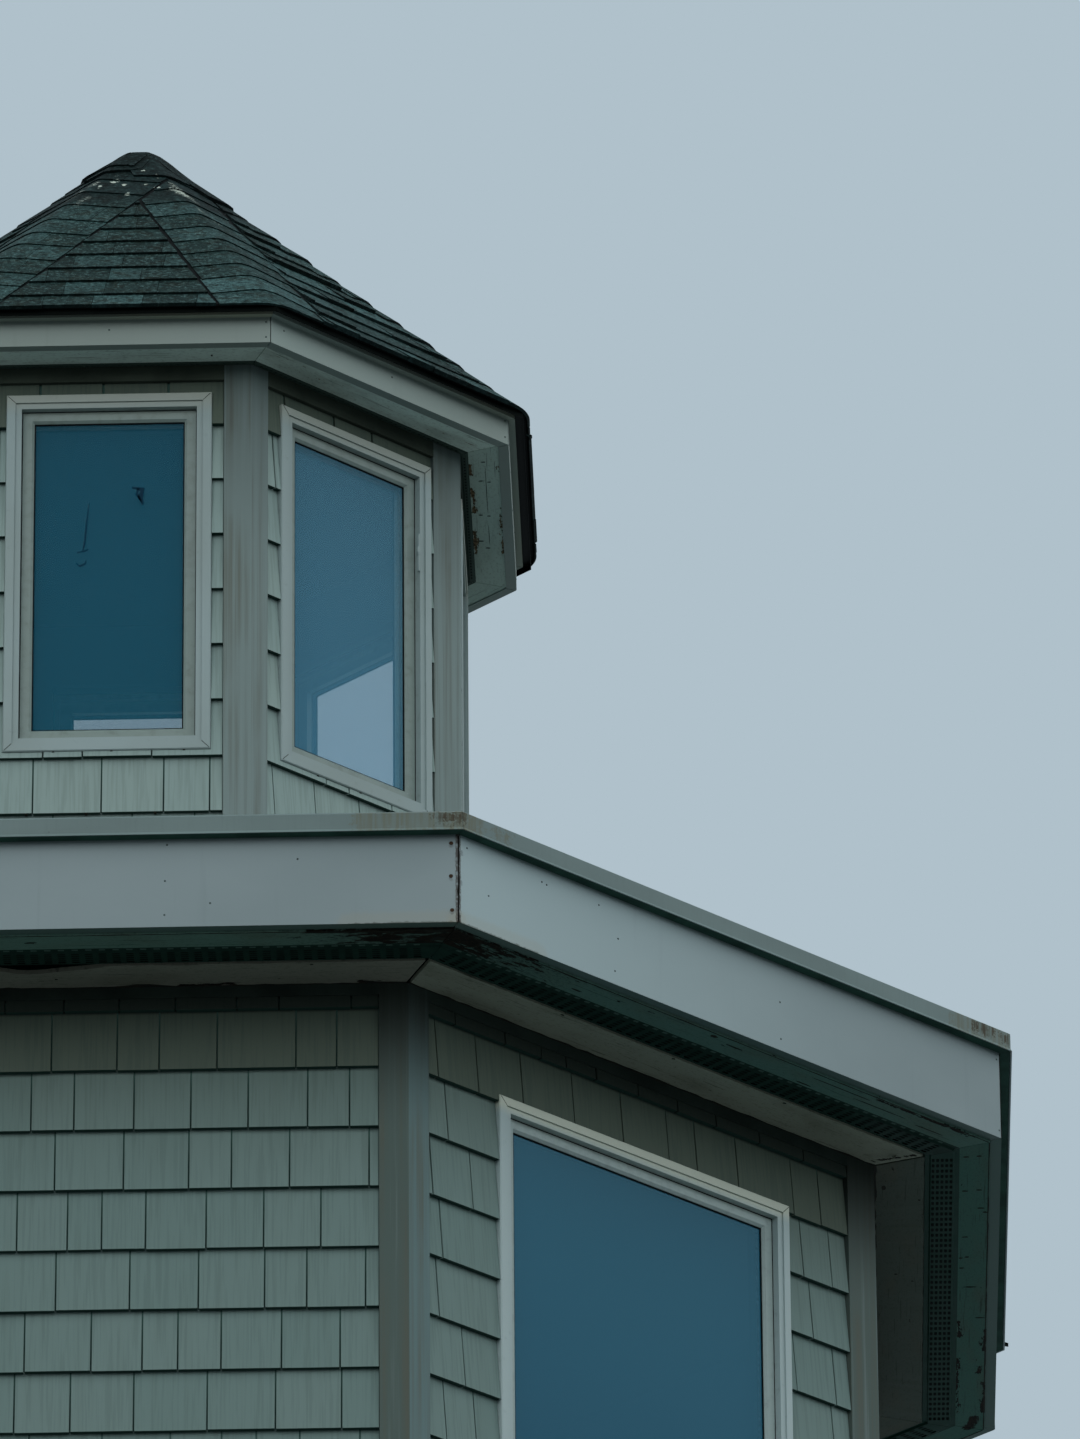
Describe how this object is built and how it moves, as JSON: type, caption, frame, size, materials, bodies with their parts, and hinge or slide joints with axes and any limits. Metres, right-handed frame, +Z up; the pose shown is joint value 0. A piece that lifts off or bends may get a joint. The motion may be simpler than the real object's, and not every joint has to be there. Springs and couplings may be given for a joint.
{
  "type": "house turret",
  "caption": "Octagonal timber house turret: shingled body with picture windows, boxed eave and low roof, and a glazed lantern under a steep shingled roof.",
  "frame": {"origin": "on the ground under the turret's axis, at the bottom centre of its bounding box", "axes": "+Z up along the axis of the eight-sided plan; the windowless front side faces -Y and the window side that shows beside it faces half way between -Y and +X"},
  "size_m": [5.132, 5.132, 9.4867],
  "materials": {
    "concrete": "matt, cast",
    "floor": "matt boards",
    "siding": "matt grey-green paint on straight-edged shingles",
    "corner_trim": "matt grey paint",
    "pale_trim": "satin, pale grey, weathered",
    "soffit_paint": "matt paint, peeling at the edges",
    "vent_metal": "matt, dark green, perforated",
    "roof_metal": "satin, stained with rust",
    "membrane": "matt",
    "asphalt_shingle": "granular, weathered",
    "window_frame": "satin",
    "window_glass": "clear, blue-green, two panes"
  },
  "bodies": {
    "root": {"plinth": "concrete", "ground_floor": "concrete", "upper_floor": "floor", "roof_edge_nailers": "floor", "front_wall": "siding", "front_right_wall": "siding", "right_wall": "siding", "back_right_wall": "siding", "back_wall": "siding", "back_left_wall": "siding", "left_wall": "siding", "front_left_wall": "siding", "lantern_knee_walls": "siding", "lantern_piers": "siding", "lantern_headers": "siding", "body_corner_boards_right": "corner_trim", "body_corner_boards_left": "corner_trim", "lantern_corner_boards_right": "corner_trim", "lantern_corner_boards_left": "corner_trim", "body_fascia_boards": "pale_trim", "lantern_fascia_boards": "pale_trim", "lantern_eave_mouldings": "pale_trim", "body_frieze_boards": "soffit_paint", "lantern_frieze_boards": "soffit_paint", "body_soffit_boards": "soffit_paint", "body_soffit_edge_boards": "soffit_paint", "lantern_soffit_boards": "soffit_paint", "body_soffit_vents": "vent_metal", "lantern_soffit_vents": "vent_metal", "roof_edge_metal": "roof_metal", "lantern_flashing_upstand": "roof_metal", "lantern_flashing_apron": "roof_metal", "lantern_drip_edges": "roof_metal", "low_roof_panels": "membrane", "lantern_roof": "asphalt_shingle", "ground_window_casings": "window_frame", "ground_window_sashes": "window_frame", "upper_window_casings": "window_frame", "upper_window_sashes": "window_frame", "lantern_window_casings": "window_frame", "lantern_window_sashes": "window_frame", "ground_window_panes": "window_glass", "upper_window_panes": "window_glass", "lantern_window_panes": "window_glass"}
  },
  "joints": []
}
